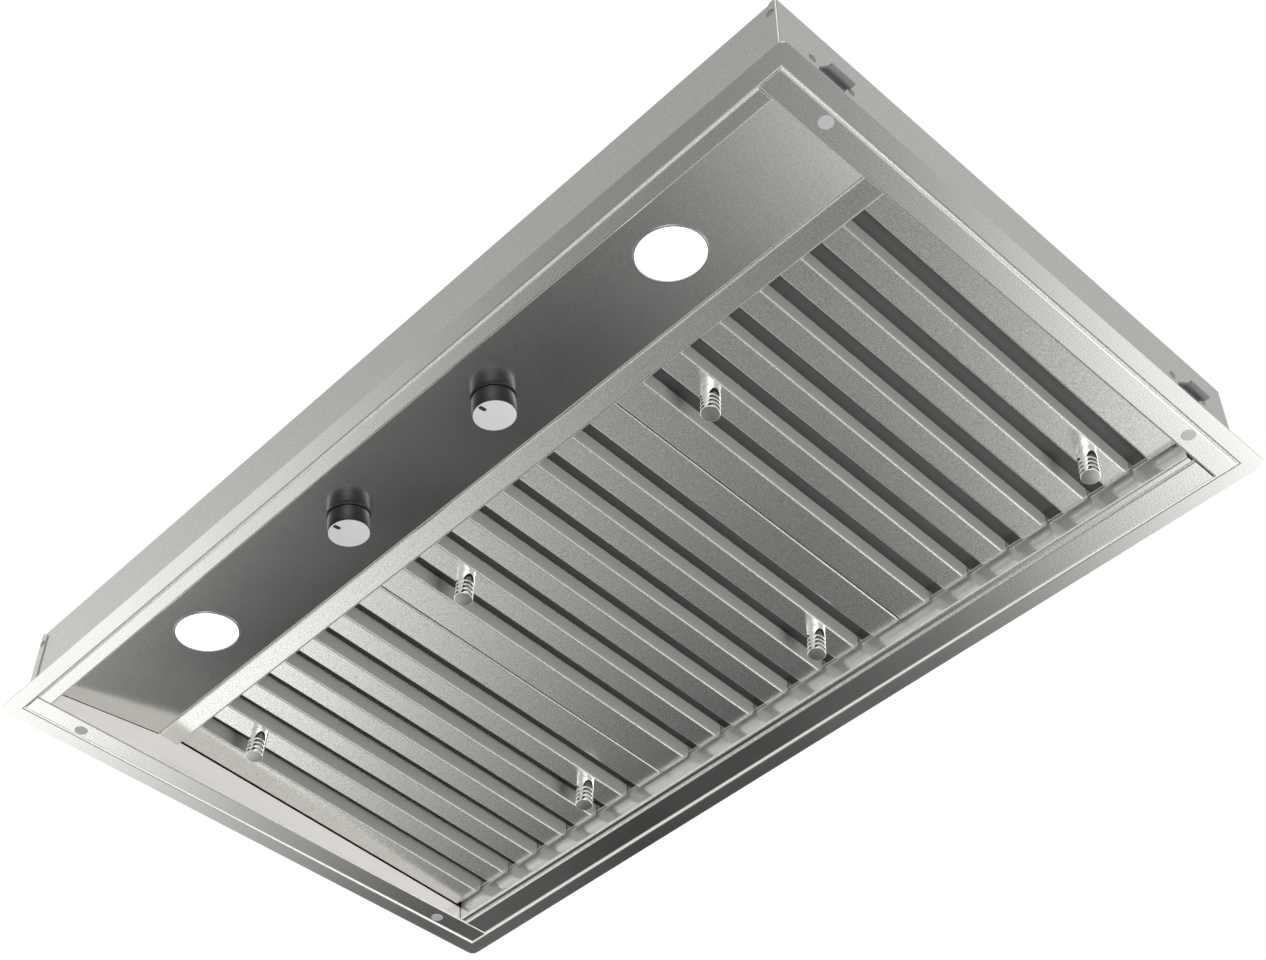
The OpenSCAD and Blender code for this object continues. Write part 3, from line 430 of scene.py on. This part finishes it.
# The upper baffles take the painted shade
for side in FILTER_SIDES:
    own_finish[side + "_filter_upper_baffles"] = painted_shade_upper_sheet
for part in frame["record"]["subparts"]:
    target = nodes[part["node"]].data.materials
    target.clear()
    target.append(own_finish.get(part["node"], finishes[part["material_slot"]]))

# Turned pieces, whose profiles are in millimetres
MM_PER_M = 1000
EDGE = 0.2
SHARP_ANGLE = math.radians(40)


def rounded(corners, steps=4):
    """A profile of (radius, height, fillet) corners, with each fillet as an arc tangent to both sides."""
    ends = np.array([corner[:2] for corner in corners], float)
    out = []
    for i, (r, z, fillet) in enumerate(corners):
        if not fillet:
            out.append((r, z))
            continue
        to_last = ends[i - 1] - ends[i]
        to_next = ends[(i + 1) % len(ends)] - ends[i]
        to_last /= np.linalg.norm(to_last)
        to_next /= np.linalg.norm(to_next)
        half = math.acos(float(np.dot(to_last, to_next))) / 2
        middle = to_last + to_next
        centre = ends[i] + middle / np.linalg.norm(middle) * fillet / math.sin(half)
        start = ends[i] + to_last * fillet / math.tan(half) - centre
        stop = ends[i] + to_next * fillet / math.tan(half) - centre
        sweep = math.atan2(start[0] * stop[1] - start[1] * stop[0], float(np.dot(start, stop)))
        turn = np.linspace(0, sweep, steps + 1)
        out += zip(centre[0] + start[0] * np.cos(turn) - start[1] * np.sin(turn),
                   centre[1] + start[0] * np.sin(turn) + start[1] * np.cos(turn))
    return np.array(out)


def disc(angle):
    """The unit circle: cosine and sine of the angle."""
    return np.cos(angle), np.sin(angle)


def bar(width, length):
    """A bar with rounded ends: the sine and cosine to the power 0.4, times half of each side."""
    def shape(angle):
        c, s = np.cos(angle), np.sin(angle)
        return (width / 2 * np.sign(c) * np.abs(c) ** 0.4, length / 2 * np.sign(s) * np.abs(s) ** 0.4)
    return shape


def lathe(profile, place, basis, spin=96, shape=disc, loop=False):
    """A turned form: (r, z) goes to r times the shape at each angle, and z along the basis's third axis.

    An open profile starts and ends on the axis, and its two ends are closed by fans. A loop goes round.
    It returns the points in metres, the faces, and for each face whether it belongs to the first end.
    """
    profile = np.asarray(profile) / MM_PER_M
    across, along = shape(2 * np.pi * np.arange(spin) / spin)
    rows = profile if loop else profile[1:-1]
    heights = np.broadcast_to(rows[:, 1:], (len(rows), spin))
    local = np.stack([rows[:, :1] * across, rows[:, :1] * along, heights], axis=-1).reshape(-1, 3)
    index = np.arange(len(rows) * spin).reshape(len(rows), spin)
    lower = index if loop else index[:-1]
    upper = np.roll(index, -1, axis=0) if loop else index[1:]
    quads = np.stack([lower, np.roll(lower, -1, axis=1), np.roll(upper, -1, axis=1), upper], axis=-1)
    quads = quads.reshape(-1, 4)
    fans = np.zeros((0, 3), int)
    if not loop:
        local = np.vstack([local, [[0, 0, profile[0, 1]], [0, 0, profile[-1, 1]]]])
        first, last = np.full(spin, len(local) - 2), np.full(spin, len(local) - 1)
        start, stop = index[0], index[-1]
        fans = np.vstack([np.stack([first, np.roll(start, -1), start], axis=-1),
                          np.stack([last, stop, np.roll(stop, -1)], axis=-1)])
    points = np.asarray(place) + local @ np.asarray(basis)
    triangles = np.vstack([quads[:, :3], quads[:, (0, 2, 3)], fans])
    a, b, c = (points[triangles[:, k]] - points.mean(axis=0) for k in range(3))
    faces = quads.tolist() + fans.tolist()
    if (np.cross(b, c) * a).sum() < 0:
        faces = [face[::-1] for face in faces]
    first_end = [len(quads) <= i < len(quads) + len(fans) // 2 for i in range(len(faces))]
    return points, faces, first_end


def piece(name, body, forms, materials, replaced=()):
    """One object of several turned forms: the first end of each takes the second material."""
    points, faces, ends = [], [], []
    count = 0
    for form_points, form_faces, form_ends in forms:
        points.append(form_points)
        faces += [[corner + count for corner in face] for face in form_faces]
        ends += form_ends
        count += len(form_points)
    mesh = bpy.data.meshes.new(name)
    mesh.from_pydata(np.vstack(points).tolist(), [], faces)
    for material in materials:
        mesh.materials.append(material)
    mesh.polygons.foreach_set("material_index", np.array(ends, int) * (len(materials) - 1))
    mesh.shade_smooth()
    mesh.set_sharp_from_angle(angle=SHARP_ANGLE)
    made = bpy.data.objects.new(name, mesh)
    scene.collection.objects.link(made)
    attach(made, body)
    if replaced:
        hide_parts(*replaced)
    return made


def on_filter(i, x, y):
    """The place of a point of a filter's lower face, x across and y from its front end."""
    return np.array((i * FILTER_PITCH, RAIL_Y, SEAT_FRONT_Z)) + np.array((x, y - FRONT_LAP, 0)) @ filter_basis


def on_panel(x, y=0):
    """The place of a light or knob on the panel's lower face, or of a point y behind its middle."""
    return np.array((x, PANEL_Y, PANEL_Z)) + (ITEM_Y + y) * np.array(panel_basis[1])


# Handle posts with their nuts
POST_R, POST_TIP = 7.6, -25.3
GROOVE_R, GROOVE_W, GROOVE_STARTS = 6.8, 1.7, (3.8, 8.3, 12.8)
TIP_FILLET, GROOVE_FILLET, FOOT_FILLET = 0.5, 0.25, 0.1
STUD_R, STUD_END = 2, 4.5
NUT_BORE, NUT_R, NUT_START, NUT_END, NUT_SIDES = 2.08, 4, 0.8, 3.8, 6
post_corners = [(0, POST_TIP, 0), (POST_R, POST_TIP, TIP_FILLET)]
for start in GROOVE_STARTS:
    low, high = POST_TIP + start, POST_TIP + start + GROOVE_W
    post_corners += [(r, z, GROOVE_FILLET) for r, z in
                     ((POST_R, low), (GROOVE_R, low), (GROOVE_R, high), (POST_R, high))]
post_corners += [(POST_R, 0, FOOT_FILLET), (STUD_R, 0, 0), (STUD_R, STUD_END, EDGE), (0, STUD_END, 0)]
post_profile = rounded(post_corners)
nut_profile = rounded([(NUT_BORE, NUT_START, 0), (NUT_R, NUT_START, EDGE), (NUT_R, NUT_END, EDGE),
                       (NUT_BORE, NUT_END, 0)])
for i, side in enumerate(FILTER_SIDES):
    forms = []
    for x, y in ((-POST_X, POST_FRONT), (POST_X, filter_length - POST_REAR)):
        place = on_filter(i - 1, x, y)
        forms.append(lathe(post_profile, place, filter_basis))
        forms.append(lathe(nut_profile, place, filter_basis, NUT_SIDES, loop=True))
    # The end face of each post takes the darker painted shade copy of the chrome
    piece(side + "_filter_posts", side + "_filter", forms,
          (finishes["handle_chrome"], painted_shade_handle_end), (side + "_filter_handles",))

# Knobs, hollow from behind round their hubs, with their pointers
KNOB_R, KNOB_FACE, KNOB_RIM = 16.6, -17, -2
FACE_FILLET, RIM_FILLET, HOLLOW_FILLET, BORE_FILLET = 0.6, 0.35, 0.4, 0.1
HOLLOW_R, HOLLOW_FLOOR = 15, -14.2
HUB_R, HUB_END = 5.4, -6
SHAFT_R, SHAFT_END = 3.08, -15.4
POINTER_PROUD, POINTER_DEPTH, POINTER_DOME = 0.04, 0.2, 0.85
POINTER_BACK = -0.0117
POINTER_SHAPE = bar(0.0034, 0.0064)
knob_profile = rounded([(0, KNOB_FACE, 0), (KNOB_R, KNOB_FACE, FACE_FILLET), (KNOB_R, KNOB_RIM, RIM_FILLET),
                        (HOLLOW_R, KNOB_RIM, EDGE), (HOLLOW_R, HOLLOW_FLOOR, HOLLOW_FILLET),
                        (HUB_R, HOLLOW_FLOOR, HOLLOW_FILLET), (HUB_R, HUB_END, EDGE),
                        (SHAFT_R, HUB_END, BORE_FILLET), (SHAFT_R, SHAFT_END, 0), (0, SHAFT_END, 0)])
# The pointer's shape is in metres already, so the radius of its edge is one of the profile's metres
pointer_top, pointer_foot = KNOB_FACE - POINTER_PROUD, KNOB_FACE + POINTER_DEPTH
pointer_profile = [(0, pointer_top), (POINTER_DOME * MM_PER_M, pointer_top), (MM_PER_M, KNOB_FACE),
                   (MM_PER_M, pointer_foot), (0, pointer_foot)]
for side, x in (("fan", -KNOB_X), ("light", KNOB_X)):
    piece(side + "_knob_cap", side + "_control", [lathe(knob_profile, on_panel(x), panel_basis, spin=128)],
          (finishes["knob_metal"], knob_face), (side + "_knob",))
    mark = lathe(pointer_profile, on_panel(x, POINTER_BACK), panel_basis, spin=48, shape=POINTER_SHAPE)
    piece(side + "_pointer", side + "_control", [mark], (pointer_black,))

# Rings of the lights
BEZEL_BORE, BEZEL_R, BEZEL_FACE = 25.5, 26.9, -0.8
BARREL_R, BARREL_END = 26.1, 7
INNER_FILLET, OUTER_FILLET, END_FILLET = 0.3, 0.35, 0.1
bezel_profile = rounded([(BEZEL_BORE, BEZEL_FACE, INNER_FILLET), (BEZEL_R, BEZEL_FACE, OUTER_FILLET),
                         (BEZEL_R, 0, 0), (BARREL_R, 0, 0), (BARREL_R, BARREL_END, END_FILLET),
                         (BEZEL_BORE, BARREL_END, END_FILLET)])
for side, x in (("left", -LIGHT_X), ("right", LIGHT_X)):
    piece(side + "_light_ring", "hood", [lathe(bezel_profile, on_panel(x), panel_basis, spin=144, loop=True)],
          (finishes["bezel_metal"],), (side + "_light_bezel",))

# Studio, with its sizes in metres
FLOOR_Z, LOW_CARD_Z, HIGH_CARD_Z = -2.6, -2.4, 3.2
FLOOR_SIZE, HIGH_CARD_SIZE = 30, 12
LOW_CARD_SPAN = (-8.5, 9, -6, 9)
FILL_LIGHT, WHITE = 0.7, 1.0

# Camera, as fitted to the corners and folds in the photo: its axes, and its place in metres
CAMERA_RIGHT = (0.6936, 0.7204, 0.0019)
CAMERA_UP = (0.519, -0.5015, 0.6922)
CAMERA_BACK = (0.4996, -0.4791, -0.7217)
CAMERA_PLACE = (0.8935, -0.8162, -1.1325)
SENSOR_MM, LENS_MM = 36, 59.82
camera_data = bpy.data.cameras.new("camera")
camera_data.sensor_width = SENSOR_MM
camera_data.lens = LENS_MM
camera_data.clip_end = 2 * FLOOR_SIZE
camera = bpy.data.objects.new("camera", camera_data)
scene.collection.objects.link(camera)
rows = zip(CAMERA_RIGHT, CAMERA_UP, CAMERA_BACK, CAMERA_PLACE)
camera.matrix_world = Matrix([*rows, (0, 0, 0, 1)])
scene.camera = camera

def quad(name, x0, x1, y0, y1, z, material):
    """A level rectangle of the studio, which faces up."""
    mesh = bpy.data.meshes.new(name)
    mesh.from_pydata([(x0, y0, z), (x1, y0, z), (x1, y1, z), (x0, y1, z)], [], [(0, 1, 2, 3)])
    mesh.materials.append(material)
    made = bpy.data.objects.new(name, mesh)
    scene.collection.objects.link(made)
    return made


def floor_finish():
    """A pale matt floor with faint clouds."""
    f = Finish("pale_floor")
    shader = f.surface(Roughness=0.9, Specular_IOR_Level=0.1)
    f.feed(f.colour(f.noise(f.place(), scale=3), grey(0.86), grey(0.9)), shader.inputs["Base Color"])
    return f.material


def fall(f, centre, spread, keep=(0, 0)):
    """Minus half of the squared distance from the centre, with each axis over its spread.

    An axis in keep doesn't fall off on its far side: below its middle for -1, above it for 1, and all along
    for 2.
    """
    squares = []
    for axis, middle, width, side in zip(f.split(f.place()), centre, spread, keep):
        away = f.math("SUBTRACT", axis, middle)
        if side:
            away = f.math({-1: "MAXIMUM", 1: "MINIMUM", 2: "MULTIPLY"}[side], away, 0)
        scaled = f.math("DIVIDE", away, width)
        squares.append(f.math("MULTIPLY", scaled, scaled))
    return f.math("MULTIPLY", f.math("ADD", *squares), -0.5)


def glow(f, centre, spread, keep=(0, 0)):
    """A soft glow: e to the power of its fall."""
    return f.math("EXPONENT", fall(f, centre, spread, keep))


def card_finish(name, glows, base, plain, middle, reach, far=None):
    """A card with soft glows, which the steel mirrors: a base level plus each glow times its strength.

    Away from its middle it fades to a plain level: the share that is left is e to the minus the fourth power
    of the distance over the reach. far is one glow more, on the plain level.
    """
    f = Finish(name)
    level = base
    for strength, *place in glows:
        level = f.math("MULTIPLY_ADD", glow(f, *place), strength, level)
    outer = plain
    if far:
        strength, *place = far
        outer = f.math("MULTIPLY_ADD", glow(f, *place), strength, plain)
    fourth = f.math("POWER", fall(f, middle, reach), 2)
    share = f.math("EXPONENT", f.math("MULTIPLY", fourth, -4))
    light = f.node("Emission")
    f.feed(f.remap(share, outer, level, *WHOLE), light.inputs["Strength"])
    f.feed(light.outputs["Emission"], f.output.inputs["Surface"])
    return f.material


def softbox(name, place, aim, size, power):
    """A square area lamp that points at a place, and that neither the camera nor the steel's mirror shows."""
    lamp = bpy.data.lights.new(name, "AREA")
    lamp.size = size
    lamp.energy = power
    made = bpy.data.objects.new(name, lamp)
    made.visible_camera = False
    made.visible_glossy = False
    scene.collection.objects.link(made)
    toward = Vector(aim) - Vector(place)
    made.matrix_world = Matrix.Translation(place) @ toward.to_track_quat("-Z", "Y").to_matrix().to_4x4()
    return made


# Each glow has its strength, centre and spread on the card, and the sides on which it keeps on
left_end_glow = (2.0, (-3.4, 0.7), (1.2, 0.6), (0, -1))
right_end_glow = (4.5, (0.55, 3.0), (0.75, 1.0), (1, 0))
rear_glow = (1.6, (0.0, 4.9), (1.0, 0.55), (2, 1))
middle_glow = (0.22, (-0.55, 2.2), (0.45, 0.35))
post_glow = (2.6, (1.7, -1.8), (0.8, 0.8))
left_wall_glow = (0.42, (-4.6, -1.7), (1.2, 3.0), (-1, 0))
right_wall_glow = (0.1, (1.6, 2.1), (1.4, 1.6), (1, 1))

quad("floor", -FLOOR_SIZE, FLOOR_SIZE, -FLOOR_SIZE, FLOOR_SIZE, FLOOR_Z, floor_finish())
low_card = quad("low_card", *LOW_CARD_SPAN, LOW_CARD_Z,
                card_finish("low_card", (left_end_glow, right_end_glow, rear_glow, middle_glow), base=0.0,
                            plain=0.8, middle=(-1.9, 2.2), reach=(3.3, 3.6), far=post_glow))
high_card = quad("high_card", -HIGH_CARD_SIZE, HIGH_CARD_SIZE, -HIGH_CARD_SIZE, HIGH_CARD_SIZE, HIGH_CARD_Z,
                 card_finish("high_card", (left_wall_glow, right_wall_glow), base=0.5,
                             plain=0.7, middle=(0, 0), reach=(7, 7)))
for card in (low_card, high_card):
    for ray in ("camera", "diffuse", "shadow", "transmission", "volume_scatter"):
        setattr(card, "visible_" + ray, False)
softbox("key", (1.8, -2.4, 2.2), aim=(0, 0, 0.1), size=1.6, power=40)
softbox("side", (1.54, 0.14, -1.54), aim=(0, 0, 0), size=0.84, power=32)

# World: an even fill light, which the camera, mirrors and glass see as white
world = bpy.data.worlds.new("studio")
world.use_nodes = True
scene.world = world
sky = Tree(world.node_tree)
rays = sky.node("LightPath").outputs
shown = sky.math("MAXIMUM", sky.math("MAXIMUM", rays["Is Camera Ray"], rays["Is Glossy Ray"]),
                 rays["Is Transmission Ray"])
choice = sky.node("MixShader")
sky.feed(shown, choice.inputs[0])
for target, strength in zip(choice.inputs[1:], (FILL_LIGHT, WHITE)):
    background = sky.node("Background")
    background.inputs["Color"].default_value = (1, 1, 1, 1)
    background.inputs["Strength"].default_value = strength
    sky.feed(background.outputs[0], target)
sky.feed(choice.outputs[0], sky.node("OutputWorld").inputs["Surface"])
